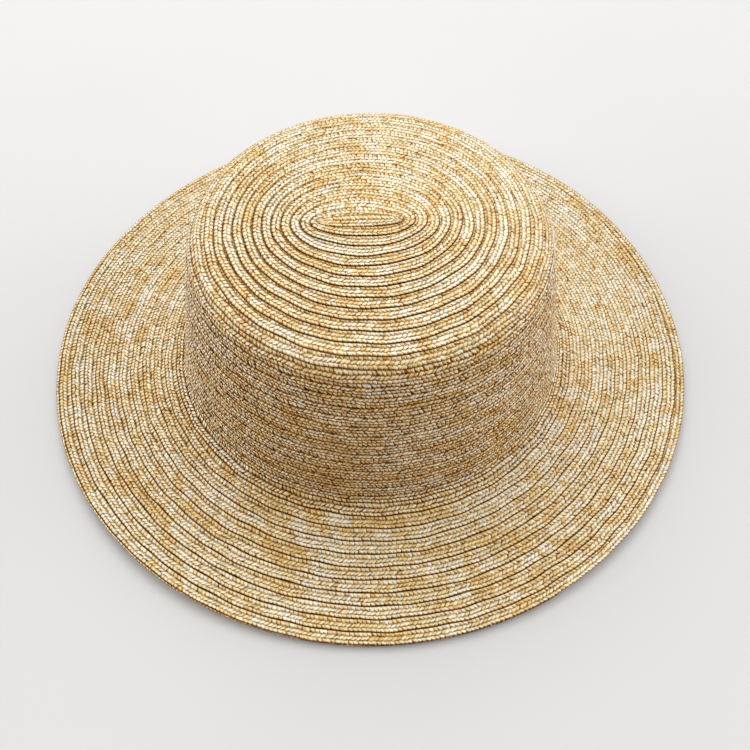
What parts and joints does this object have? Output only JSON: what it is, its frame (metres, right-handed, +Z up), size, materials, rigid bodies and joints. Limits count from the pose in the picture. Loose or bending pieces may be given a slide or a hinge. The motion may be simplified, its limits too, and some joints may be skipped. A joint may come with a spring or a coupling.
{
  "type": "straw boater hat",
  "caption": "Straw boater hat sewn in a spiral from one flat plait: flat-topped leaning crown, open below, on a wide level brim with gentle waves",
  "frame": {"origin": "on the surface that the brim rests on, below the middle of the crown", "axes": "+X along the hat's long way, front to back of the head; +Y across it; +Z up"},
  "size_m": [0.3184, 0.3098, 0.0962],
  "materials": {
    "straw_plait": "matt plaited straw with a slight sheen, cream and golden tan"
  },
  "bodies": {
    "root": {"start_strip": "straw_plait", "crown_tip": "straw_plait", "crown_side": "straw_plait", "brim": "straw_plait", "edge_row": "straw_plait"}
  },
  "joints": []
}
